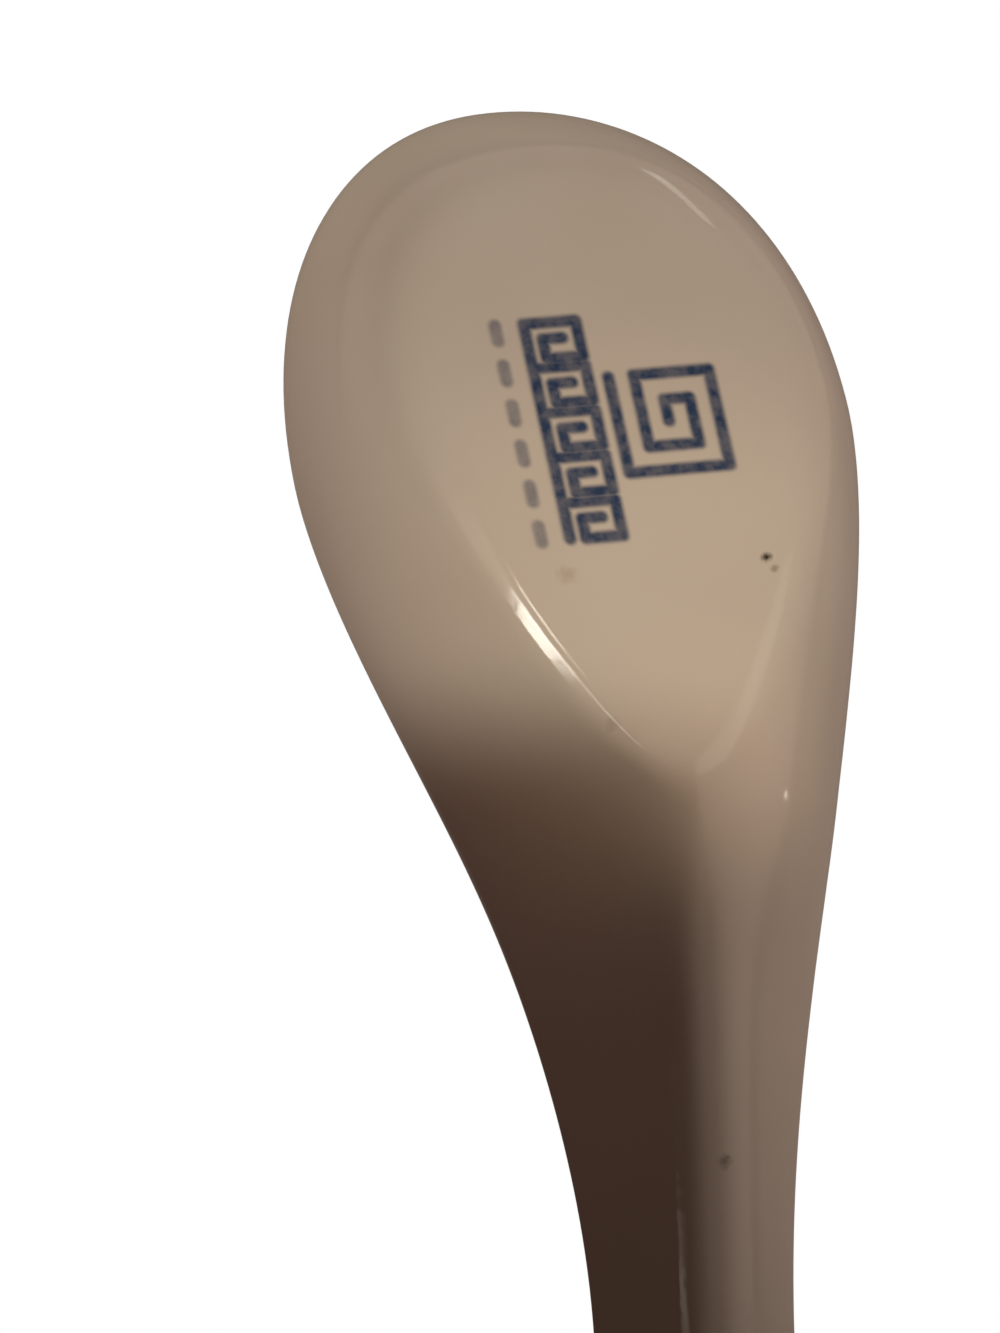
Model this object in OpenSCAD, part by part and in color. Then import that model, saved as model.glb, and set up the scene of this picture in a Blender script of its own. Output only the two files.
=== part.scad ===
// Porcelain soup spoon with a deep bowl, a flat foot and a grooved handle.
// Lengths in millimetres. The foot stands on z = 0 with its centre at the origin,
// +Y runs up the handle, the bowl's tip points to -Y and the bowl opens to +Z.

/* [Bowl] */
// Width of the bowl over its rim
bowl_w = 45; // [36:0.5:54]
// Length from the widest place of the bowl to its tip
tip_l = 31; // [26:0.5:38]
// Height of the rim's edge above the table at the widest place
rim_h = 12; // [11:0.5:18]
// How much higher the rim is at the tip
tip_lift = 0.8; // [0:0.1:3]
// Thickness of the wall at the rim
wall_t = 3.2; // [2.4:0.1:4.4]
// Height of the rounded crown on the rim
rim_crown = 1.2; // [0.6:0.1:2]
// Thickness of the bowl's floor over the foot
floor_t = 3.6; // [3:0.1:6]
// Width of the level part of the floor inside the bowl
floor_w = 15; // [8:0.5:20]

/* [Foot] */
// Length of the flat foot
foot_l = 52; // [44:0.5:58]
// Length of the foot in front of its widest place
foot_front_l = 20; // [17:0.5:25]
// Width of the flat foot
foot_w = 32.4; // [26:0.2:35]

/* [Handle] */
// Length of the whole spoon in plan, from tip to handle end
overall_l = 136; // [122:1:160]
// Length over which the bowl narrows to the handle
neck_l = 68; // [60:1:84]
// Width of the handle where it is narrowest
handle_w = 16.2; // [12:0.2:18]
// Width of the handle at its end
handle_end_w = 18; // [14:0.2:21]
// Length of the rounded end
end_l = 8; // [5:0.5:10]
// Depth of the handle from its edges down to its keel, at the neck
handle_depth = 8.6; // [7:0.1:11]
// The same depth at the end
end_depth = 5.6; // [5:0.1:8]
// Thickness of the handle under its groove
handle_t = 4; // [3:0.1:5]
// Width of the softened keel under the handle
keel_w = 1; // [0.6:0.2:3]
// Angle at which the handle leaves the foot
handle_angle = 33; // [25:1:40]
// Angle of the handle at its end
end_angle = 19; // [8:1:24]
// Length of the bend between foot and handle, outside
neck_bend = 3.2; // [2:0.2:10]
// Softness of the same bend along the rim and inside the bowl
neck_soft = 6.4; // [4:0.2:14]
// Straight length of the handle before it levels out
straight_l = 36; // [24:1:44]

/* [Glaze] */
// Thickness of the glaze
glaze_t = 0.2; // [0.1:0.05:0.3]

/* [Mark] */
// Thickness of the blue mark, which lies under the glaze
mark_t = 0.08; // [0.04:0.02:0.1]
// Width of the mark's lines
mark_line = 0.85; // [0.5:0.05:0.9]
// Length of one key pattern of the row
key_l = 3.8; // [3.2:0.1:4.2]
// Width of the row of keys across the foot
key_w = 4.2; // [3.4:0.1:4.6]
// Number of key patterns in the row
key_count = 5; // [3:1:5]
// Distance of the row from the middle of the foot, towards -X
row_x = 3.6; // [3.2:0.1:4.2]
// Size of the square spiral beside the row
spiral_w = 9; // [7:0.2:9.6]
// Distance of the spiral from the middle of the foot, towards +X
spiral_x = 4.2; // [3.8:0.1:4.8]
// Length of one dash of the dashed line beside the row
dash_l = 2.2; // [1.4:0.1:2.6]
// Space between two dashes
dash_gap = 1.2; // [1:0.1:1.6]
// Number of dashes
dash_count = 6; // [3:1:6]
// Distance of the dashed line from the middle of the foot, towards -X
dash_x = 8; // [7.4:0.1:8.4]
// Distance of the whole mark from the centre of the foot, towards the tip
mark_y = 3.4; // [0:0.1:5]

/* [Hidden] */
overrun = glaze_t / 2;
wide_y = foot_front_l - foot_l / 2;
tail_y = foot_l / 2;
foot_rear_l = foot_l - foot_front_l;
handle_end_y = wide_y - tip_l + overall_l;
round_y = handle_end_y - end_l;
neck_mid_y = tail_y + neck_bend / 2;
level_y = tail_y + straight_l;
level_l = handle_end_y - level_y;
flare_y = wide_y + neck_l;
keel_edge = keel_w / 2;

// Steps along half of the outline, and from foot to rim
front_steps = 10;
foot_steps = 9;
handle_steps = 9;
end_steps = 5;
wall_steps = 6;
crown_steps = 3;

// Roundness of the outlines, and how the steps along the handle crowd towards the neck
tip_share = 0.96;
neck_share = 0.88;
tail_share = 1.4;
neck_step_share = 1.3;
groove_share = 0.3;
floor_front_share = 0.5;

// Roundness of the hull at its bottom and towards its rim: at the tip, the widest place and the neck
bottom_shares = [2, 2.2, 1.5];
side_shares = [1.3, 2.1, 1.7];

// Roundness along the handle, at its bottom and towards its rim
handle_shares = [1.3, 1.15];

// Largest share of the hull's width that the foot may take, and of the handle's slope at the foot's tail
foot_limit_share = 0.94;
rise_limit_share = 0.8;

// One key of the row, as shares of its length and width, and the square spiral, as shares of half its size
key_shares = [[0, 0], [0, 1], [0.8, 1], [0.8, 0.3], [0.36, 0.3], [0.36, 0.68]];
spiral_shares = [
    [-1, -1], [-1, 1], [1, 1], [1, -1], [-0.5, -1],
    [-0.5, 0.5], [0.5, 0.5], [0.5, -0.45], [0, -0.45], [0, 0]
];

function smooth(t) = let (u = min(max(t, 0), 1)) u * u * (3 - 2 * u);
function soft_max(a, b, r) = (a + b + sqrt((a - b) * (a - b) + r * r)) / 2;

// Height of the straight handle's line, and how far the handle's end drops below it
function handle_line(y) = tan(handle_angle) * (y - neck_mid_y);
function level_drop(y) =
    let (over = max(y - level_y, 0))
    (tan(handle_angle) - tan(end_angle)) * over * over / (2 * level_l);

// Height of the floor inside, and of the rim's edge
function floor_z(y) =
    let (share = smooth((y - tail_y) / straight_l), thick = floor_t + (handle_t - floor_t) * share)
    thick + soft_max(0, handle_line(y), neck_soft) - level_drop(y)
    - soft_max(0, handle_line(wide_y), neck_soft);
function depth_at(y) = handle_depth + (end_depth - handle_depth) * smooth((y - tail_y) / straight_l);
function rim_z(y) = soft_max(rim_h, handle_line(y) + depth_at(y), neck_soft) - level_drop(y);

// Half width of the rim behind the bowl's widest place
function rim_x(y) =
    let (neck = smooth(pow(max(y - wide_y, 0) / neck_l, neck_share)))
    let (flare = smooth((y - flare_y) / (round_y - flare_y)))
    bowl_w / 2 - (bowl_w - handle_w) / 2 * neck + (handle_end_w - handle_w) / 2 * flare;

// Half width of the softened keel, which begins under the foot
function keel_x(y) = keel_edge * smooth((y - wide_y) / foot_rear_l);

// Share of the hull's half width that is flat foot, in front of the widest place and behind it
function front_share(a) =
    let (tip = foot_front_l / tip_l, side = foot_w / bowl_w)
    min(tip + (side - tip) * pow(sin(a), 2), foot_limit_share);
function rear_share(y) =
    let (t = min((y - wide_y) / foot_rear_l, 1))
    min(foot_w / 2 / rim_x(y) * pow(1 - pow(t, tail_share), 1 / bottom_shares[2]), foot_limit_share);

// Height of the underside on the middle line: flat foot, bend, straight, level end
tail_spread = pow(foot_w / 2 / rim_x(tail_y), bottom_shares[2]);
tail_rise = min(
    rim_z(tail_y) / side_shares[2] * tail_spread * tail_share / foot_rear_l,
    rise_limit_share * tan(handle_angle)
);
bend_l = neck_bend * tan(handle_angle) / (tan(handle_angle) - tail_rise);
function keel_z(y) =
    let (over = y - tail_y)
    let (bent = tail_rise * over + (tan(handle_angle) - tail_rise) * over * over / (2 * bend_l))
    over <= 0 ? 0 : (over < bend_l ? bent : handle_line(y)) - level_drop(y);

// Half width of the level floor, which runs out into the groove of the handle
function groove_x(y) =
    let (groove = groove_share * (rim_x(y) - wall_t))
    floor_w / 2 + (groove - floor_w / 2) * smooth((y - wide_y) / foot_rear_l);

// A quarter of a rounded outline in front of the widest place, and one around the handle's end
function front_arc(x, y, share) = [
    for (i = [0:front_steps])
        let (a = 90 * i / front_steps)
        [x * pow(sin(a), share), wide_y - y * pow(cos(a), share)]
];
function end_arc(x, y) = [
    for (i = [1:end_steps])
        let (a = 90 * i / end_steps)
        [x * cos(a), round_y + y * sin(a)]
];
stations = concat(
    [for (i = [1:foot_steps]) wide_y + foot_rear_l * sin(90 * i / foot_steps)],
    [for (i = [1:handle_steps]) tail_y + (round_y - tail_y) * pow(i / handle_steps, neck_step_share)]
);

// Half outlines from the tip around to the handle's end, drawn in by the depth of the glaze
function rim_line(inset) = concat(
    [for (p = front_arc(bowl_w / 2 - inset, tip_l - inset, tip_share))
        [p.x, p.y, rim_z(wide_y) + tip_lift * pow((wide_y - p.y) / tip_l, 2)]],
    [for (y = stations) [rim_x(y) - inset, y, rim_z(y)]],
    [for (p = end_arc(rim_x(round_y) - inset, end_l - inset)) [p.x, p.y, rim_z(p.y)]]
);
function floor_line(sink) = concat(
    [for (p = front_arc(floor_w / 2, floor_front_share * foot_front_l, tip_share))
        [p.x, p.y, floor_z(wide_y) - sink]],
    [for (y = stations) [groove_x(y), y, floor_z(y) - sink]],
    [for (p = end_arc(groove_x(round_y), groove_x(round_y))) [p.x, p.y, floor_z(p.y) - sink]]
);

// The middle of each half section under the bowl and the handle, with the height of the underside there
middle_line = concat(
    [for (i = [0:front_steps]) [0, wide_y, 0]],
    [for (y = stations) [keel_x(y), y, keel_z(y)]],
    [for (p = end_arc(keel_edge, keel_edge)) [p.x, p.y, keel_z(p.y)]]
);

// Roundness of the hull and the share that is foot, at each place along the half outline
function along_wall(shares, handle) = concat(
    [for (i = [0:front_steps]) shares[0] + (shares[1] - shares[0]) * pow(sin(90 * i / front_steps), 2)],
    [for (y = stations)
        let (rear = shares[1] + (shares[2] - shares[1]) * smooth((y - wide_y) / foot_rear_l))
        rear + (handle - rear) * smooth((y - tail_y) / handle_w)],
    [for (i = [1:end_steps]) handle]
);
bottom_rounds = along_wall(bottom_shares, handle_shares[0]);
side_rounds = along_wall(side_shares, handle_shares[1]);
foot_shares = concat(
    [for (i = [0:front_steps]) front_share(90 * i / front_steps)],
    [for (y = stations) rear_share(y)],
    [for (i = [1:end_steps]) 0]
);

// A point on the outer wall: f is 0 where the wall leaves the foot or the keel, and 1 at the rim.
// The section is a rounded hull, level at its lowest and upright at the rim, which the foot cuts off flat.
function hull_point(i, rim, sink, f) =
    let (mid = middle_line[i], start = asin(pow(foot_shares[i], bottom_rounds[i] / 2)))
    let (cut = 1 - pow(cos(start), 2 / side_rounds[i]), low = (mid.z + sink - rim.z * cut) / (1 - cut))
    let (a = start + (90 - start) * f)
    let (out = pow(sin(a), 2 / bottom_rounds[i]), up = 1 - pow(cos(a), 2 / side_rounds[i]))
    [mid.x + (rim.x - mid.x) * out, mid.y + (rim.y - mid.y) * out, low + (rim.z - low) * up];

// A point on the inner wall: f is 0 at the floor and 1 at the rim
function inner_point(low, top, f) =
    let (out = sin(90 * f), up = 1 - cos(90 * f))
    [low.x + (top.x - low.x) * out, low.y + (top.y - low.y) * out, low.z + (top.z - low.z) * up];

// A point on the rim's crown: f is 0 on its outer edge and 1 on its inner edge
function crown_point(out, in, crown, f) =
    out + (in - out) * (1 - cos(180 * f)) / 2 + [0, 0, crown * sin(180 * f)];

// The other half is the mirror image
function closed(half) = concat(half, [for (i = [len(half) - 2:-1:1]) [-half[i].x, half[i].y, half[i].z]]);

// Rings of the whole skin, from the foot up the outside, over the rim and down to the floor
function rings(sink) =
    let (rim = rim_line(sink), lip = rim_line(wall_t - sink), bed = floor_line(sink), last = len(rim) - 1)
    concat(
        [for (k = [0:wall_steps])
            closed([for (i = [0:last]) hull_point(i, rim[i], sink, k / wall_steps)])],
        [for (k = [1:crown_steps - 1])
            closed([for (i = [0:last]) crown_point(rim[i], lip[i], rim_crown - sink, k / crown_steps)])],
        [for (k = [0:wall_steps])
            closed([for (i = [0:last]) inner_point(bed[i], lip[i], 1 - k / wall_steps)])]
    );

// Faces across a closed ring that starts at point s, as a ladder from side to side
function ladder(s, n) = concat(
    [[s, s + 1, s + n - 1]],
    [for (i = [1:n / 2 - 2]) each [
        [s + i, s + i + 1, s + n - i],
        [s + i + 1, s + n - i - 1, s + n - i]
    ]],
    [[s + n / 2 - 1, s + n / 2, s + n / 2 + 1]]
);
function turned(faces) = [for (f = faces) [f[2], f[1], f[0]]];

// Closed skin of the spoon, sunk below its finished surface
module spoon_skin(sink) {
    skin = rings(sink);
    n = len(skin[0]);
    bands = [for (k = [0:len(skin) - 2], i = [0:n - 1])
        let (a = k * n + i, b = k * n + (i + 1) % n)
        each [[a, a + n, b], [b, a + n, b + n]]];
    polyhedron(
        points = [for (r = skin) each r],
        faces = concat(ladder(0, n), bands, turned(ladder((len(skin) - 1) * n, n)))
    );
}

// Straight line of the mark between two points that lie along X or along Y
module ink_line(a, b) {
    low = [min(a.x, b.x), min(a.y, b.y)];
    high = [max(a.x, b.x), max(a.y, b.y)];
    translate(low - [mark_line, mark_line] / 2)
        square(high - low + [mark_line, mark_line]);
}

// Broken line through a list of points
module ink_path(points) {
    for (i = [0:len(points) - 2])
        ink_line(points[i], points[i + 1]);
}

// Row of key patterns along the spoon, with a square spiral on one side and a dashed line on the other
module mark_outline() {
    row_l = key_count * key_l;
    edge_x = row_x + key_w / 2;
    spiral_half = (spiral_w - mark_line) / 2;
    dash_step = dash_l + dash_gap;
    translate([0, -mark_y]) {
        for (k = [0:key_count - 1])
            ink_path([for (s = key_shares)
                [s.y * key_w - edge_x, (k - key_count / 2 + s.x) * key_l + mark_line / 2]]);
        ink_line([-edge_x, (mark_line - row_l) / 2], [-edge_x, (row_l - mark_line) / 2]);
        ink_path([for (s = spiral_shares) [spiral_x + s.x * spiral_half, s.y * spiral_half]]);
        for (k = [0:dash_count - 1]) {
            start = (k - dash_count / 2) * dash_step + (dash_gap + mark_line) / 2;
            ink_line([-dash_x, start], [-dash_x, start + dash_l - mark_line]);
        }
    }
}

// Fired clay: bowl, foot, neck and handle in one casting
module porcelain_body() {
    color("ivory") spoon_skin(glaze_t);
}

// Blue mark on the flat of the body
module base_mark() {
    color("midnightblue")
        translate([0, 0, glaze_t - mark_t])
            linear_extrude(mark_t) mark_outline();
}

// Glaze all over the body and the mark
module glaze_coat() {
    color("whitesmoke")
        difference() {
            spoon_skin(0);
            spoon_skin(glaze_t);
            translate([0, 0, glaze_t - mark_t])
                linear_extrude(mark_t + overrun) mark_outline();
        }
}

porcelain_body();
base_mark();
glaze_coat();
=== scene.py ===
# White porcelain soup spoon, seen from under its bowl
import bpy
import math
from mathutils import Matrix, Vector


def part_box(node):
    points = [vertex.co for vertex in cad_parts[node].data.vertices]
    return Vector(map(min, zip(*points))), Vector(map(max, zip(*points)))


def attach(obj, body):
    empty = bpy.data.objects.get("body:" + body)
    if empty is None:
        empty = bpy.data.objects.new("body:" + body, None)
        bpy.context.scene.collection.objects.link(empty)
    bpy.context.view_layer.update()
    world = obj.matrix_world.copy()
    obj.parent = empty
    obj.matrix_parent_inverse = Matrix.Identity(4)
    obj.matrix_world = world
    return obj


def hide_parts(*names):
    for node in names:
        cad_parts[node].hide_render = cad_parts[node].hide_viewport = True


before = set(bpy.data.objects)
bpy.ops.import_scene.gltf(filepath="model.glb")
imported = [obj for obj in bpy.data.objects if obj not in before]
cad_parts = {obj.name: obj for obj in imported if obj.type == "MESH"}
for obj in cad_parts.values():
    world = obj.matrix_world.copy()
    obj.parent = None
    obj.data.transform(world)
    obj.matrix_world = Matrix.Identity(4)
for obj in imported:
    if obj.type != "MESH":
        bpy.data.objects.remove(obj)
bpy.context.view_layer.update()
coatLow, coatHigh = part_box("glaze_coat")
print("frame loaded:", sorted(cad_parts))

mm = 0.001  # sizes below are millimetres, meshes are metres

# Sizes of the spoon's skin, the same as the frame's
shell = {
    "bowlWidth": (coatHigh.x - coatLow.x) / mm,
    "tipY": coatLow.y / mm,
    "endY": coatHigh.y / mm,
    "tipLength": 31,  # from the widest place to the tip
    "rimHeight": 12,
    "tipLift": 0.8,
    "wallThickness": 3.2,
    "rimCrown": 1.2,
    "floorThickness": 3.6,
    "floorWidth": 15,
    "footLength": 52,
    "footFront": 20,  # foot in front of the widest place
    "footWidth": 32.4,
    "neckLength": 68,
    "handleWidth": 16.2,
    "handleEndWidth": 18,
    "endLength": 8,
    "handleDepth": 8.6,
    "endDepth": 5.6,
    "handleThickness": 4,
    "keelWidth": 1,
    "handleAngle": math.radians(33),
    "endAngle": math.radians(19),
    "neckBend": 3.2,
    "neckSoft": 6.4,
    "straightLength": 36,
    "tipRound": 0.96,
    "neckRound": 0.88,
    "tailRound": 1.4,
    "bottomRounds": (2, 2.2, 1.5),  # hull's roundness low down: tip, side, neck
    "sideRounds": (1.3, 2.1, 1.7),  # the same towards the rim
    "handleRounds": (1.3, 1.15),  # both along the handle
    "endRounds": (2, 1.7),  # and at the middle of its end
    "keelSoft": 1.6,  # radius of the handle's keel
    "grooveShare": 0.3,
    "floorFrontShare": 0.5,
    "glazeThickness": 0.2,
    # softness of the foot's edge: tip, side, rear, tail
    "creases": (2.4, 2.8, 1.3, 0.7),
    "creaseRear": 16,  # length over which the side's softness turns crisp
    "creaseTail": 8,
    "dishDepth": 0.08,  # hollow of the foot
    "dishRim": 0.08,
    "dishEdge": 0.25,
    "dishFade": 2,  # the hollow runs out where the hull is this close to the foot
}
wideY = shell["tipY"] + shell["tipLength"]
tailY = shell["footLength"] / 2
footRear = shell["footLength"] - shell["footFront"]
roundY = shell["endY"] - shell["endLength"]
neckMidY = tailY + shell["neckBend"] / 2
levelY = tailY + shell["straightLength"]
flareY = wideY + shell["neckLength"]
handleRise = math.tan(shell["handleAngle"])
endRise = math.tan(shell["endAngle"])
keelEdge = shell["keelWidth"] / 2
quarter = math.pi / 2


def smooth(t):
    u = min(max(t, 0), 1)
    return u * u * (3 - 2 * u)


def between(a, b, share):
    return a + (b - a) * share


def softMax(a, b, radius):
    return (a + b + math.hypot(a - b, radius)) / 2


# larger of two heights, with a fillet where they meet
def filletMax(a, b, reach):
    near = max(reach - abs(a - b), 0) / reach
    return max(a, b) + near * near * reach / 4


# heights along the middle line
def handleLine(y):
    return handleRise * (y - neckMidY)


def levelDrop(y):
    return (handleRise - endRise) * max(y - levelY, 0) ** 2 / (2 * (shell["endY"] - levelY))


def floorHeight(y):
    soft = shell["neckSoft"]
    share = smooth((y - tailY) / shell["straightLength"])
    thick = between(shell["floorThickness"], shell["handleThickness"], share)
    return thick + softMax(0, handleLine(y), soft) - levelDrop(y) - softMax(0, handleLine(wideY), soft)


def rimEdge(y):
    share = smooth((y - tailY) / shell["straightLength"])
    depth = between(shell["handleDepth"], shell["endDepth"], share)
    return softMax(shell["rimHeight"], handleLine(y) + depth, shell["neckSoft"]) - levelDrop(y)


# half widths behind the widest place
def rimHalf(y):
    neck = smooth((max(y - wideY, 0) / shell["neckLength"]) ** shell["neckRound"])
    flare = smooth((y - flareY) / (roundY - flareY))
    narrow = (shell["bowlWidth"] - shell["handleWidth"]) / 2 * neck
    return shell["bowlWidth"] / 2 - narrow + (shell["handleEndWidth"] - shell["handleWidth"]) / 2 * flare


def grooveHalf(y):
    groove = shell["grooveShare"] * (rimHalf(y) - shell["wallThickness"])
    return between(shell["floorWidth"] / 2, groove, smooth((y - wideY) / footRear))


# share of the half width that is flat foot, and the underside behind it
def footShare(y):
    t = min((y - wideY) / footRear, 1)
    taper = (1 - t ** shell["tailRound"]) ** (1 / shell["bottomRounds"][2])
    return shell["footWidth"] / 2 / rimHalf(y) * taper


tailSpread = (shell["footWidth"] / 2 / rimHalf(tailY)) ** shell["bottomRounds"][2]
tailRise = rimEdge(tailY) / shell["sideRounds"][2] * tailSpread * shell["tailRound"] / footRear
bendLength = shell["neckBend"] * handleRise / (handleRise - tailRise)


def keelHeight(y):
    over = y - tailY
    if over <= 0:
        return 0
    bent = tailRise * over + (handleRise - tailRise) * over * over / (2 * bendLength)
    return (bent if over < bendLength else handleLine(y)) - levelDrop(y)


# one half section of the spoon, from the middle of its underside over the rim to the middle of its floor
def makeSection(middle, rim, lip, bed, foot, rounds, crease, keel):
    return {
        "middle": Vector(middle), "rim": Vector(rim), "lip": Vector(lip), "bed": Vector(bed),
        "foot": foot, "rounds": rounds, "crease": crease, "keel": keel,
    }


def frontSection(turn, sink):
    across, ahead = math.sin(turn), max(math.cos(turn), 0)
    side = across ** 2

    def arc(x, y):
        return x * across ** shell["tipRound"], wideY - y * ahead ** shell["tipRound"]

    def rimPoint(inset):
        x, y = arc(shell["bowlWidth"] / 2 - inset, shell["tipLength"] - inset)
        lift = shell["tipLift"] * ((wideY - y) / shell["tipLength"]) ** 2
        return x, y, rimEdge(wideY) + lift

    bedX, bedY = arc(shell["floorWidth"] / 2, shell["floorFrontShare"] * shell["footFront"])
    foot = between(shell["footFront"] / shell["tipLength"], shell["footWidth"] / shell["bowlWidth"], side)
    rounds = [between(a[0], a[1], side) for a in (shell["bottomRounds"], shell["sideRounds"])]
    return makeSection(
        (0, wideY, 0),
        rimPoint(sink),
        rimPoint(shell["wallThickness"] - sink),
        (bedX, bedY, floorHeight(wideY) - sink),
        foot, rounds, between(shell["creases"][0], shell["creases"][1], side), 0,
    )


def rearSection(y, sink):
    inset = shell["wallThickness"] - sink
    rear = smooth((y - wideY) / footRear)
    handle = smooth((y - tailY) / shell["handleWidth"])
    rounds = [between(a[1], a[2], rear) for a in (shell["bottomRounds"], shell["sideRounds"])]
    crease = between(shell["creases"][1], shell["creases"][2], smooth((y - wideY) / shell["creaseRear"]))
    crease = between(crease, shell["creases"][3], smooth((y - tailY) / shell["creaseTail"] + 1))
    return makeSection(
        (0, y, keelHeight(y)),
        (rimHalf(y) - sink, y, rimEdge(y)),
        (rimHalf(y) - inset, y, rimEdge(y)),
        (grooveHalf(y), y, floorHeight(y) - sink),
        footShare(y),
        [between(a, b, handle) for a, b in zip(rounds, shell["handleRounds"])],
        crease, handle * shell["keelSoft"] / rimHalf(y),
    )


def endSection(turn, sink):
    across, ahead = max(math.cos(turn), 0), math.sin(turn)
    inset = shell["wallThickness"] - sink
    half, groove = rimHalf(roundY), grooveHalf(roundY)
    rimY = roundY + (shell["endLength"] - sink) * ahead
    lipY = roundY + (shell["endLength"] - inset) * ahead
    keelY = roundY + keelEdge * ahead
    bedY = roundY + groove * ahead
    rounds = [between(a, b, smooth(ahead)) for a, b in zip(shell["handleRounds"], shell["endRounds"])]
    return makeSection(
        (0, keelY, keelHeight(keelY)),
        ((half - sink) * across, rimY, rimEdge(rimY)),
        ((half - inset) * across, lipY, rimEdge(lipY)),
        (groove * across, bedY, floorHeight(bedY) - sink),
        0, rounds, shell["creases"][3], shell["keelSoft"] / half,
    )


def makeSections(steps, sink):
    front = [frontSection(quarter * i / steps["front"], sink) for i in range(steps["front"] + 1)]
    foot = [wideY + footRear * math.sin(quarter * (i + 1) / steps["foot"]) for i in range(steps["foot"])]
    run = roundY - tailY
    handle = [tailY + run * ((i + 1) / steps["handle"]) ** steps["crowd"] for i in range(steps["handle"])]
    end = [endSection(quarter * (i + 1) / steps["end"], sink) for i in range(steps["end"])]
    return front + [rearSection(y, sink) for y in foot + handle] + end


def sectionPoints(section, steps, sink):
    middle, rim, lip, bed = (section[name] for name in ("middle", "rim", "lip", "bed"))
    foot, keel = section["foot"], section["keel"]
    bottom, side = section["rounds"]
    start = math.asin(foot ** (bottom / 2))
    cut = 1 - math.cos(start) ** (2 / side)
    low = (middle.z + sink - rim.z * cut) / (1 - cut)

    # hull that the foot cuts off flat, hollowed a little inside the foot's edge
    def outerPoint(angle):
        out = math.sin(angle) ** (2 / bottom)
        eased = (math.hypot(out, keel) - keel) / (math.hypot(1, keel) - keel)
        steep = math.asin(min(eased, 1) ** (bottom / 2))
        x, y = between(middle.x, rim.x, out), between(middle.y, rim.y, out)
        base = low if foot > 0 else keelHeight(y) + sink
        hull = between(base, rim.z, 1 - max(math.cos(steep), 0) ** (2 / side))
        inside = 1 - shell["dishRim"] - out / foot if foot > 0 else 0
        dish = shell["dishDepth"] * smooth(inside / shell["dishEdge"]) * smooth(-low / shell["dishFade"])
        height = filletMax(hull, sink + dish, section["crease"])
        return Vector((x, y, height))

    points = [outerPoint(0)]
    points[0].x = 0
    for k in range(steps["under"]):
        out = foot * (1 - (1 - k / steps["under"]) ** steps["underCrowd"])
        points.append(outerPoint(math.asin(out ** (bottom / 2))))
    for k in range(steps["wall"]):
        points.append(outerPoint(between(start, quarter, (k / steps["wall"]) ** steps["wallCrowd"])))
    for k in range(steps["crown"]):
        f = math.pi * k / steps["crown"]
        crown = Vector((0, 0, (shell["rimCrown"] - sink) * math.sin(f)))
        points.append(rim + (lip - rim) * (1 - math.cos(f)) / 2 + crown)
    for k in range(steps["inner"]):
        f = quarter * (1 - k / steps["inner"])
        out, up = math.sin(f), 1 - math.cos(f)
        x, y = between(bed.x, lip.x, out), between(bed.y, lip.y, out)
        points.append(Vector((x, y, between(bed.z, lip.z, up))))
    for k in range(steps["floor"] + 1):
        points.append(Vector((bed.x * (1 - k / steps["floor"]), bed.y, bed.z)))
    return points


def startPiece(name):
    bpy.ops.object.select_all(action="DESELECT")
    piece = bpy.context.object
    piece.name = piece.data.name = name
    piece.select_set(True)
    return piece


# half of the skin is a grid laid over the sections, and the other half its mirror image
def makeSkin(name, steps, sink):
    sections = [sectionPoints(section, steps, sink) for section in makeSections(steps, sink)]
    along, across = len(sections) - 1, len(sections[0]) - 1
    bpy.ops.object.select_all(action="DESELECT")
    bpy.ops.mesh.primitive_grid_add(x_subdivisions=across, y_subdivisions=along, size=1)
    piece = startPiece(name)
    for vertex in piece.data.vertices:
        column = round((vertex.co.x + 0.5) * across)
        row = round((vertex.co.y + 0.5) * along)
        vertex.co = sections[row][column] * mm
    mirror = piece.modifiers.new("otherHalf", "MIRROR")
    mirror.merge_threshold = steps["merge"] * mm
    bpy.ops.object.modifier_apply(modifier=mirror.name)
    bpy.ops.object.mode_set(mode="EDIT")
    bpy.ops.mesh.select_all(action="SELECT")
    bpy.ops.mesh.remove_doubles(threshold=steps["merge"] * mm)
    bpy.ops.mesh.normals_make_consistent(inside=False)
    bpy.ops.object.mode_set(mode="OBJECT")
    bpy.ops.object.shade_smooth()
    print(name, "has", len(piece.data.polygons), "faces")
    return piece


glazeSteps = {
    "front": 44, "foot": 40, "handle": 64, "crowd": 1.5, "end": 16,
    "under": 22, "underCrowd": 2.2, "wall": 36, "wallCrowd": 1.8, "crown": 12, "inner": 24, "floor": 10,
    "merge": 0.002,
}
bodySteps = {
    "front": 24, "foot": 20, "handle": 32, "crowd": 1.5, "end": 8,
    "under": 6, "underCrowd": 1.5, "wall": 14, "wallCrowd": 1.5, "crown": 6, "inner": 12, "floor": 4,
    "merge": 0.002,
}
spoonGlaze = makeSkin("spoonGlaze", glazeSteps, 0)
spoonBody = makeSkin("spoonBody", bodySteps, shell["glazeThickness"])

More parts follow.
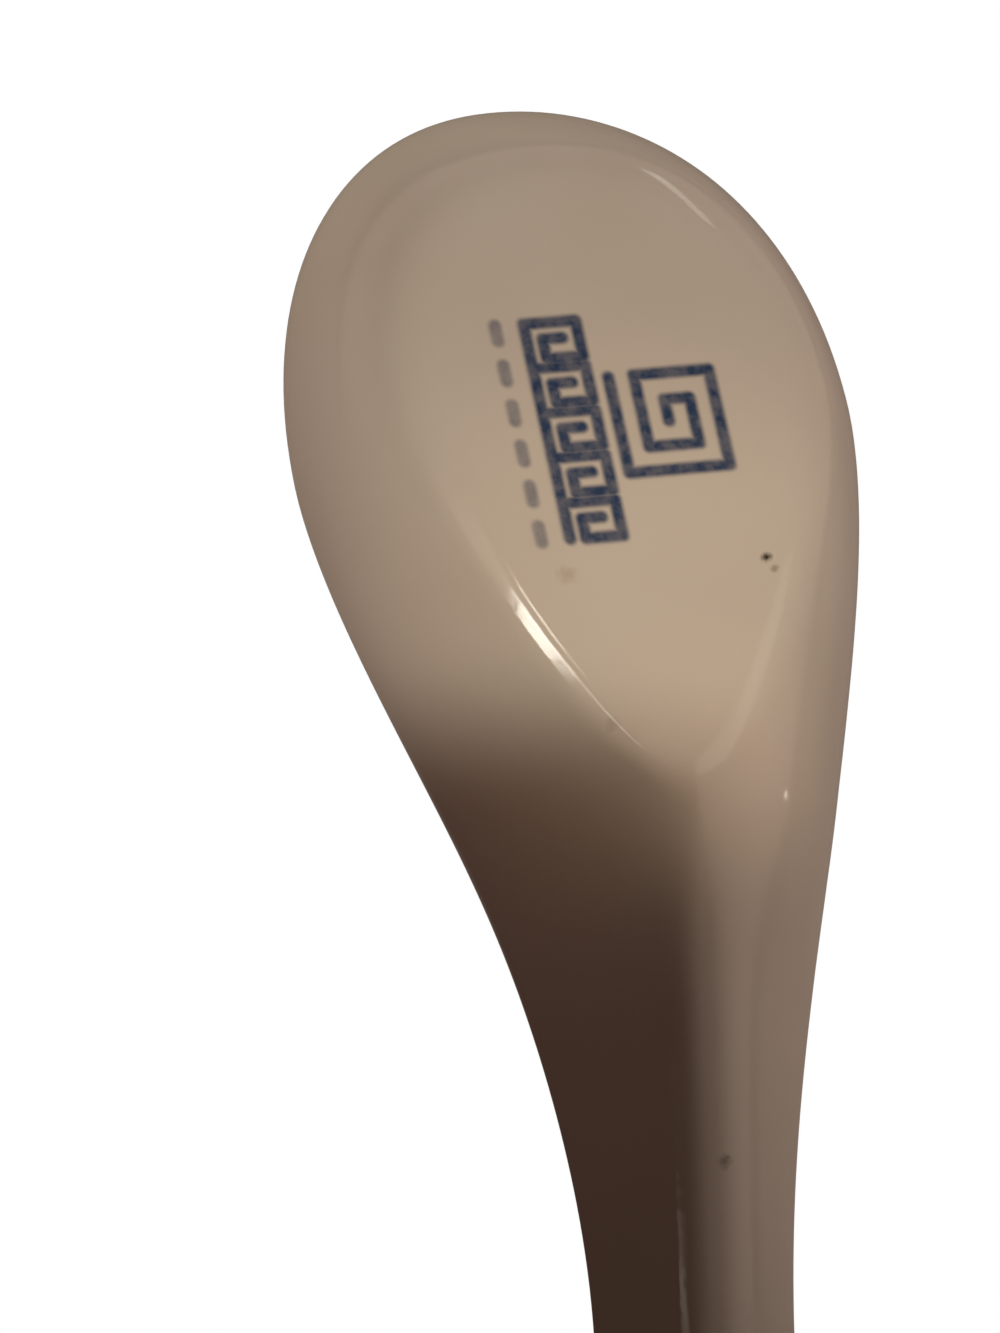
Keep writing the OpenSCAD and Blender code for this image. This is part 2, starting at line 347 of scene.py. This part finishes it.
# Blue mark under the glaze: a row of key patterns, a square spiral and a dashed line
mark = {
    "line": 0.85,
    "keyLength": 3.8,
    "keyWidth": 4.2,
    "keyCount": 5,
    "rowX": -3.6,
    "spiralWidth": 9,
    "spiralX": 4.2,
    "dashLength": 2.2,
    "dashGap": 1.2,
    "dashCount": 6,
    "dashX": -8,
    "dashInk": 0.62,  # the dashes are fainter
    "shiftY": -3.4,
    "soft": 0.5,  # width of the soft edge
    "bleed": 0.08,  # how far the pigment ran out
    "cell": 0.14,
    "proud": 0.012,
    "keyShares": [(0, 0), (0, 1), (0.8, 1), (0.8, 0.3), (0.36, 0.3), (0.36, 0.68)],
    "spiralShares": [
        (-1, -1), (-1, 1), (1, 1), (1, -1), (-0.5, -1),
        (-0.5, 0.5), (0.5, 0.5), (0.5, -0.45), (0, -0.45), (0, 0),
    ],
}


def markLines():
    length, width, count, line = mark["keyLength"], mark["keyWidth"], mark["keyCount"], mark["line"]
    edge = mark["rowX"] - width / 2
    reach = (count * length - line) / 2
    paths = [[(edge, -reach), (edge, reach)]]
    for k in range(count):
        start = (k - count / 2) * length + line / 2
        paths.append([(edge + across * width, start + along * length) for along, across in mark["keyShares"]])
    half = (mark["spiralWidth"] - line) / 2
    paths.append([(mark["spiralX"] + x * half, y * half) for x, y in mark["spiralShares"]])
    for k in range(mark["dashCount"]):
        step = mark["dashLength"] + mark["dashGap"]
        start = (k - mark["dashCount"] / 2) * step + (mark["dashGap"] + line) / 2
        paths.append([(mark["dashX"], start), (mark["dashX"], start + mark["dashLength"] - line)])
    shift = Vector((0, mark["shiftY"]))
    return [(Vector(a) + shift, Vector(b) + shift) for path in paths for a, b in zip(path, path[1:])]


# distance outside the nearest line's edge, negative inside it
def markDistance(point, lines):
    nearest = math.inf
    for a, b in lines:
        outX = max(min(a.x, b.x) - point.x, point.x - max(a.x, b.x), 0)
        outY = max(min(a.y, b.y) - point.y, point.y - max(a.y, b.y), 0)
        nearest = min(nearest, math.hypot(outX, outY))
    return nearest - mark["line"] / 2


def makeMark(name):
    lines = markLines()
    ends = [end for line in lines for end in line]
    reach = mark["line"] / 2 + mark["soft"] + mark["cell"]
    lowX, highX = min(end.x for end in ends) - reach, max(end.x for end in ends) + reach
    lowY, highY = min(end.y for end in ends) - reach, max(end.y for end in ends) + reach
    columns, rows = round((highX - lowX) / mark["cell"]), round((highY - lowY) / mark["cell"])
    bpy.ops.object.select_all(action="DESELECT")
    bpy.ops.mesh.primitive_grid_add(x_subdivisions=columns, y_subdivisions=rows, size=1)
    piece = startPiece(name)
    inkShares = []
    for vertex in piece.data.vertices:
        x, y = between(lowX, highX, vertex.co.x + 0.5), between(lowY, highY, vertex.co.y + 0.5)
        away = markDistance(Vector((x, y)), lines) - mark["bleed"]
        full = mark["dashInk"] if x < mark["dashX"] + mark["line"] else 1
        inkShares.append(full * (1 - smooth((away + mark["soft"] / 2) / mark["soft"])))
        vertex.co = Vector((x, y, shell["dishDepth"] - mark["proud"])) * mm
    layer = piece.data.attributes.new("ink", "FLOAT", "POINT")
    layer.data.foreach_set("value", inkShares)
    bpy.ops.object.mode_set(mode="EDIT")
    bpy.ops.mesh.select_mode(type="FACE")
    bpy.ops.mesh.select_all(action="DESELECT")
    bpy.ops.object.mode_set(mode="OBJECT")
    for face in piece.data.polygons:
        face.select = max(inkShares[v] for v in face.vertices) == 0
    bpy.ops.object.mode_set(mode="EDIT")
    bpy.ops.mesh.delete(type="FACE")
    bpy.ops.mesh.select_all(action="SELECT")
    bpy.ops.mesh.flip_normals()
    bpy.ops.object.mode_set(mode="OBJECT")
    bpy.ops.object.shade_smooth()
    print(name, "has", len(piece.data.polygons), "faces")
    return piece


footMark = makeMark("footMark")


# Finishes
noiseMiddle = (0.3, 0.7)


def newFinish(name):
    finish = bpy.data.materials.new(name)
    finish.use_nodes = True
    tree = finish.node_tree
    tree.nodes.clear()
    output = tree.nodes.new("ShaderNodeOutputMaterial")
    return finish, tree, output


def addNode(tree, kind, settings, inputs):
    made = tree.nodes.new(kind)
    for name, value in settings.items():
        setattr(made, name, value)
    for name, value in inputs.items():
        if isinstance(value, bpy.types.NodeSocket):
            tree.links.new(value, made.inputs[name])
        else:
            made.inputs[name].default_value = value
    return made


def addMath(tree, operation, first, second):
    return addNode(tree, "ShaderNodeMath", {"operation": operation}, {0: first, 1: second}).outputs[0]


def addNoise(tree, place, scale, detail):
    inputs = {"Vector": place, "Scale": scale, "Detail": detail}
    return addNode(tree, "ShaderNodeTexNoise", {}, inputs).outputs["Fac"]


def addRange(tree, value, fromLow, fromHigh, toLow, toHigh):
    limits = {"From Min": fromLow, "From Max": fromHigh, "To Min": toLow, "To Max": toHigh}
    return addNode(
        tree, "ShaderNodeMapRange", {"interpolation_type": "SMOOTHSTEP"}, {"Value": value, **limits}
    ).outputs["Result"]


# noise whose middle values are spread from one value to another
def addSpread(tree, place, scale, detail, low, high):
    return addRange(tree, addNoise(tree, place, scale, detail), *noiseMiddle, low, high)


def addBump(tree, inputs):
    return addNode(tree, "ShaderNodeBump", {}, inputs).outputs["Normal"]


def addMix(tree, share, first, second):
    return addNode(tree, "ShaderNodeMix", {"data_type": "RGBA"}, {0: share, 6: first, 7: second}).outputs[2]


glaze = {
    "tone": (0.80, 0.755, 0.69, 1),
    "warmTone": (0.77, 0.715, 0.64, 1),
    "toneScale": 45,
    "roughLow": 0.05,
    "roughHigh": 0.1,
    "roughScale": 160,
    "peelScale": 420,
    "peelHeight": 0.000012,
    "waveScale": 55,
    "waveHeight": 0.00008,
    "index": 1.52,
    "speckScale": 1500,  # raggedness of the specks' edges
    "speckEdge": (0.6, 1.5),
    "specks": [  # place, radius, colour, strength
        ((9.5, 8.6, 0.1), 0.62, (0.02, 0.012, 0.008, 1), 1.0),
        ((9.9, 9.6, 0.1), 0.5, (0.2, 0.13, 0.08, 1), 0.5),
        ((-6.6, 8.6, 0.1), 1.1, (0.4, 0.3, 0.18, 1), 0.3),
        ((-5.6, 21.1, 0.1), 0.8, (0.30, 0.27, 0.24, 1), 0.28),
        ((1.2, 51.6, 15.2), 0.95, (0.06, 0.04, 0.03, 1), 0.9),
    ],
}


def glazeSurface(tree):
    place = addNode(tree, "ShaderNodeTexCoord", {}, {}).outputs["Object"]
    tone = addSpread(tree, place, glaze["toneScale"], 4, 0, 1)
    colour = addMix(tree, tone, glaze["tone"], glaze["warmTone"])
    ragged = addNoise(tree, place, glaze["speckScale"], 3)
    for centre, radius, stain, strength in glaze["specks"]:
        away = addNode(
            tree, "ShaderNodeVectorMath", {"operation": "DISTANCE"}, {0: place, 1: [c * mm for c in centre]}
        ).outputs["Value"]
        loose = addNode(
            tree, "ShaderNodeMath", {"operation": "MULTIPLY_ADD"}, {0: ragged, 1: radius * mm, 2: away}
        ).outputs[0]
        inside, outside = (share * radius * mm for share in glaze["speckEdge"])
        spot = addRange(tree, loose, inside, outside, strength, 0)
        colour = addMix(tree, spot, colour, stain)
    rough = addSpread(tree, place, glaze["roughScale"], 3, glaze["roughLow"], glaze["roughHigh"])
    ripple = addNoise(tree, place, glaze["waveScale"], 1)
    wave = addBump(tree, {"Strength": 1, "Distance": glaze["waveHeight"], "Height": ripple})
    dimple = addNoise(tree, place, glaze["peelScale"], 2)
    peel = addBump(tree, {"Strength": 1, "Distance": glaze["peelHeight"], "Height": dimple, "Normal": wave})
    return place, colour, rough, peel


ink = {
    "colour": (0.038, 0.074, 0.172, 1),
    "patchScale": 900,
    "thin": 0.82,
    "full": 1,
}


# the pigment shows through the same glaze
def makeGlaze(name, inked):
    finish, tree, output = newFinish(name)
    place, colour, rough, peel = glazeSurface(tree)
    if inked:
        density = addNode(tree, "ShaderNodeAttribute", {"attribute_name": "ink"}, {}).outputs["Fac"]
        patchy = addSpread(tree, place, ink["patchScale"], 4, ink["thin"], ink["full"])
        colour = addMix(tree, addMath(tree, "MULTIPLY", density, patchy), colour, ink["colour"])
    skin = addNode(
        tree, "ShaderNodeBsdfPrincipled", {},
        {"Base Color": colour, "Roughness": rough, "Normal": peel, "IOR": glaze["index"]},
    )
    tree.links.new(skin.outputs[0], output.inputs["Surface"])
    return finish


bisque = {
    "tone": (0.83, 0.80, 0.74, 1),
    "grainTone": (0.76, 0.72, 0.65, 1),
    "grainScale": 2500,
    "grainHeight": 0.00002,
    "rough": 0.75,
}


def makeBisque(name):
    finish, tree, output = newFinish(name)
    place = addNode(tree, "ShaderNodeTexCoord", {}, {}).outputs["Object"]
    grain = addNoise(tree, place, bisque["grainScale"], 5)
    bump = addBump(tree, {"Distance": bisque["grainHeight"], "Height": grain})
    colour = addMix(tree, grain, bisque["tone"], bisque["grainTone"])
    clay = addNode(
        tree, "ShaderNodeBsdfPrincipled", {},
        {"Base Color": colour, "Roughness": bisque["rough"], "Normal": bump},
    )
    tree.links.new(clay.outputs[0], output.inputs["Surface"])
    return finish


finishes = {
    spoonGlaze: (makeGlaze("warmWhiteGlaze", False), "glaze_coat", "glaze"),
    spoonBody: (makeBisque("firedClay"), "porcelain_body", "porcelain"),
    footMark: (makeGlaze("cobaltUnderGlaze", True), "base_mark", "cobalt_ink"),
}
for piece, (finish, node, slotName) in finishes.items():
    piece.data.materials.append(finish)
    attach(piece, "root")
    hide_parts(node)
print("finishes:", [finish.name for finish, node, slotName in finishes.values()])

# Pale floor that shows from above only, and fades into the white room
floor = {"size": 4, "tone": (0.74, 0.76, 0.82, 1), "rough": 0.7, "fadeStart": 0.2, "fadeEnd": 0.75}


def makeFloor():
    bpy.ops.object.select_all(action="DESELECT")
    bpy.ops.mesh.primitive_plane_add(size=floor["size"])
    sheet = startPiece("paleFloor")
    finish, tree, output = newFinish("palePaper")
    place = addNode(tree, "ShaderNodeTexCoord", {}, {}).outputs["Object"]
    far = addNode(tree, "ShaderNodeVectorMath", {"operation": "LENGTH"}, {0: place}).outputs["Value"]
    fade = addRange(tree, far, floor["fadeStart"], floor["fadeEnd"], 0, 1)
    behind = addNode(tree, "ShaderNodeNewGeometry", {}, {}).outputs["Backfacing"]
    hidden = addMath(tree, "MAXIMUM", fade, behind)
    paper = addNode(
        tree, "ShaderNodeBsdfPrincipled", {}, {"Base Color": floor["tone"], "Roughness": floor["rough"]}
    )
    clear = addNode(tree, "ShaderNodeBsdfTransparent", {}, {})
    both = addNode(tree, "ShaderNodeMixShader", {}, {0: hidden, 1: paper.outputs[0], 2: clear.outputs[0]})
    tree.links.new(both.outputs[0], output.inputs["Surface"])
    sheet.data.materials.append(finish)
    sheet.visible_shadow = False
    sheet.visible_diffuse = False
    sheet.visible_glossy = False


makeFloor()

# Lamps: soft ones for the shading, small panels for the highlights, some of which fade past their aim
lamps = {
    "bowlBeam": {
        "kind": "SPOT", "place": (-0.27, 0.03, -0.365), "aim": (0.022, -0.08, 0),
        "size": 0.005, "cone": 25.6, "blend": 0.14, "power": 2.72, "colour": (1, 0.89, 0.72), "glossy": False,
    },
    "rightSide": {
        "kind": "SPOT", "place": (0.35, -0.06, -0.21), "aim": (0, 0.012, 0.01),
        "size": 0.05, "cone": 26, "blend": 1, "power": 2.55, "colour": (1, 0.8, 0.67), "glossy": False,
    },
    "frontHigh": {
        "kind": "AREA", "place": (0.04, -0.91, 0.79), "aim": (0, 0.01, 0.01),
        "size": (1, 1), "power": 10.4, "colour": (1, 0.87, 0.6), "glossy": False,
    },
    "leftSide": {
        "kind": "SPOT", "place": (-0.55, -0.12, -0.1), "aim": (0, -0.025, 0.005),
        "size": 0.01, "cone": 11, "blend": 0.6, "power": 0.52, "colour": (1, 0.32, 0.35), "glossy": False,
    },
    "footBeam": {
        "kind": "SPOT", "place": (-0.1, -0.1, -0.4), "aim": (0.001, 0.011, 0),
        "size": 0.005, "cone": 7, "blend": 1, "power": 0.85, "colour": (1, 0.75, 0.45), "glossy": False,
    },
    "neckGlow": {
        "kind": "SPOT", "place": (-0.5, 0.02, -0.12), "aim": (0, 0.026, 0.005),
        "size": 0.02, "cone": 8.4, "blend": 1, "power": 0.28, "colour": (1, 0.6, 0.5), "glossy": False,
    },
    "tailBeam": {
        "kind": "SPOT", "place": (0.25, 0.1, -0.35), "aim": (0.003, 0.0245, 0.001),
        "size": 0.005, "cone": 2.8, "blend": 1, "power": 1.15, "colour": (1, 0.76, 0.56), "glossy": False,
    },
    "tipBeam": {
        "kind": "SPOT", "place": (0.05, -0.5, -0.12), "aim": (0, -0.034, 0.006),
        "size": 0.02, "cone": 4, "blend": 1, "power": 0.9, "colour": (1, 0.85, 0.95), "glossy": False,
    },
    "endGlow": {
        "kind": "SPOT", "place": (-0.35, 0.25, -0.1), "aim": (0, 0.1, 0.038),
        "size": 0.01, "cone": 7, "blend": 1, "power": 2, "colour": (1, 0.88, 0.76), "glossy": False,
    },
    "overhead": {
        "kind": "AREA", "place": (0.2, 0.2, 0.9), "aim": (0, 0.03, 0.02),
        "size": (0.7, 0.7), "power": 8.0, "colour": (1, 0.95, 0.88),
    },
    "edgeGlint": {
        "kind": "AREA", "place": (-0.061, -0.057, -0.441), "aim": (-0.01, 0.014, 0),
        "across": (-0.895, 0.446, 0), "fade": (0.01, 0.02),
        "size": (0.15, 0.026), "power": 0.2, "colour": (1, 0.98, 0.88), "diffuse": False,
    },
    "edgeGlintThin": {
        "kind": "AREA", "place": (0.084, -0.129, -0.416), "aim": (-0.01, 0.014, 0),
        "across": (-0.91, 0.42, 0), "fade": (0.01, 0.02),
        "size": (0.03, 0.018), "power": 0.017, "colour": (1, 0.96, 0.84), "diffuse": False,
    },
    "edgeGlintLong": {
        "kind": "AREA", "place": (-0.006, -0.062, -0.444), "aim": (-0.01, 0.014, 0),
        "across": (-0.83, 0.56, 0), "fade": (0.01, 0.02),
        "size": (0.04, 0.07), "power": 0.022, "colour": (1, 0.94, 0.82), "diffuse": False,
    },
    "edgeSheen": {
        "kind": "AREA", "place": (-0.055, -0.117, -0.428), "aim": (-0.01, 0.014, 0),
        "across": (-0.98, 0.17, 0), "fade": (0.01, 0.02),
        "size": (0.18, 0.06), "power": 0.022, "colour": (1, 0.94, 0.8), "diffuse": False,
    },
    "tailSheen": {
        "kind": "AREA", "place": (0.266, -0.059, -0.42), "aim": (0.006, 0.024, 0),
        "across": (1, 0, 0),
        "size": (0.2, 0.16), "power": 0.07, "colour": (1, 0.95, 0.85), "diffuse": False,
    },
    "tipGlint": {
        "kind": "AREA", "place": (0.3, -0.39, -0.15), "aim": (0.01, -0.02, 0),
        "across": (0.79, 0.45, 0.42),
        "size": (0.03, 0.22), "power": 0.035, "colour": (1, 0.95, 0.85), "diffuse": False,
    },
    "handleGlint": {
        "kind": "AREA", "place": (-0.24, 0.392, -0.256), "aim": (-0.003, 0.057, 0.02),
        "across": (0.94, 0.27, -0.2),
        "size": (0.075, 0.008), "power": 0.003, "colour": (1, 0.9, 0.8), "diffuse": False,
    },
    "neckGlint": {
        "kind": "AREA", "place": (0.456, 0.072, -0.002), "aim": (0.008, 0.027, 0.004),
        "across": (0, 0, 1),
        "size": (0.008, 0.006), "power": 0.0018, "colour": (1, 0.95, 0.85), "diffuse": False,
    },
}


# a panel whose light fades out a little behind the place that it aims at
def fadeLamp(data, start, end):
    data.use_nodes = True
    tree = data.node_tree
    tree.nodes.clear()
    output = tree.nodes.new("ShaderNodeOutputLight")
    far = addNode(tree, "ShaderNodeLightPath", {}, {}).outputs["Ray Length"]
    glow = addNode(tree, "ShaderNodeEmission", {}, {"Strength": addRange(tree, far, start, end, 1, 0)})
    tree.links.new(glow.outputs[0], output.inputs["Surface"])


def makeLamp(name, lamp):
    data = bpy.data.lights.new(name, lamp["kind"])
    data.energy = lamp["power"]
    data.color = lamp["colour"]
    if lamp["kind"] == "SPOT":
        data.shadow_soft_size = lamp["size"]
        data.spot_size = math.radians(lamp["cone"])
        data.spot_blend = lamp["blend"]
    else:
        data.shape = "RECTANGLE" if "across" in lamp else "ELLIPSE"
        data.size, data.size_y = lamp["size"]
    made = bpy.data.objects.new(name, data)
    bpy.context.scene.collection.objects.link(made)
    away = Vector(lamp["place"]) - Vector(lamp["aim"])
    if "fade" in lamp:
        fadeLamp(data, *(away.length + step for step in lamp["fade"]))
    back = away.normalized()
    across = Vector(lamp.get("across", (1, 0.01, 0)))
    up = back.cross(across).normalized()
    axes = Matrix((up.cross(back), up, back)).transposed()
    made.matrix_world = Matrix.Translation(lamp["place"]) @ axes.to_4x4()
    made.visible_glossy = lamp.get("glossy", True)
    made.visible_diffuse = lamp.get("diffuse", True)


for name, lamp in lamps.items():
    makeLamp(name, lamp)

# White backdrop, a dim room for the shading, and a pale wall with a dark line for the reflections
room = {
    "dim": (0.052, 0.031, 0.024, 1),
    "wall": (0.36, 0.28, 0.23, 1),
    "wallStart": -0.55,
    "wallFull": -0.05,
    "up": (-0.014, 0.16, 1),
    "side": (0.6, -0.8, 0),  # the wall fades away from here
    "sideStart": -0.6,
    "sideFull": 0.2,
    "lineLow": 0,
    "lineHigh": 0.08,
    "overLow": 0.06,
    "overHigh": 0.2,
    "overShare": 0.55,  # brightness of the wall over the line
}


def addDot(tree, first, second):
    made = addNode(tree, "ShaderNodeVectorMath", {"operation": "DOT_PRODUCT"}, {0: first, 1: second})
    return made.outputs["Value"]


def makeRoom():
    world = bpy.data.worlds.new("whiteRoom")
    world.use_nodes = True
    tree = world.node_tree
    tree.nodes.clear()
    output = tree.nodes.new("ShaderNodeOutputWorld")
    ahead = addNode(tree, "ShaderNodeTexCoord", {}, {}).outputs["Generated"]
    height = addDot(tree, ahead, room["up"])
    under = addRange(tree, height, room["lineLow"], room["lineHigh"], 1, 0)
    over = addRange(tree, height, room["overLow"], room["overHigh"], 0, room["overShare"])
    wall = addMath(tree, "MULTIPLY", addRange(tree, height, room["wallStart"], room["wallFull"], 0, 1), under)
    near = addRange(tree, addDot(tree, ahead, room["side"]), room["sideStart"], room["sideFull"], 0, 1)
    bright = addMath(tree, "MULTIPLY", addMath(tree, "ADD", wall, over), near)
    path = addNode(tree, "ShaderNodeLightPath", {}, {})
    white = addNode(tree, "ShaderNodeBackground", {}, {"Color": (1, 1, 1, 1)})
    dim = addNode(tree, "ShaderNodeBackground", {}, {"Color": room["dim"]})
    pale = addNode(tree, "ShaderNodeBackground", {}, {"Color": room["wall"], "Strength": bright})
    lit = addNode(
        tree, "ShaderNodeMixShader", {},
        {0: path.outputs["Is Glossy Ray"], 1: dim.outputs[0], 2: pale.outputs[0]},
    )
    seen = addNode(
        tree, "ShaderNodeMixShader", {},
        {0: path.outputs["Is Camera Ray"], 1: lit.outputs[0], 2: white.outputs[0]},
    )
    tree.links.new(seen.outputs[0], output.inputs["Surface"])
    bpy.context.scene.world = world
    bpy.context.scene.view_settings.view_transform = "Standard"


makeRoom()
print("floor, lamps and room set")

# Camera under the spoon, turned as in the photograph
camera = {
    "distance": 600,
    "roll": math.radians(-12.1),
    "pitch": math.radians(-21),
    "yaw": math.radians(-18.4),
    "slide": (8.5, -20.9),  # of the widest place, right and down
    "pixelsPerMm": 13.03,
    "imageHeight": 1333,
    "farthest": 100,
}


def makeCamera():
    data = bpy.data.cameras.new("underView")
    made = bpy.data.objects.new("underView", data)
    bpy.context.scene.collection.objects.link(made)
    turn = Matrix.Rotation(camera["roll"], 3, "Z") @ Matrix.Rotation(camera["pitch"], 3, "X")
    turn = turn @ Matrix.Rotation(camera["yaw"], 3, "Y")
    right, down, ahead = turn
    back = -(turn.transposed() @ Vector((*camera["slide"], camera["distance"])))
    axes = Matrix((right, -down, -ahead)).transposed()
    made.matrix_world = Matrix.Translation((back + Vector((0, wideY, 0))) * mm) @ axes.to_4x4()
    data.lens = camera["pixelsPerMm"] * camera["distance"] * data.sensor_width / camera["imageHeight"]
    data.clip_end = camera["farthest"]
    bpy.context.scene.camera = made


makeCamera()
print("camera set")
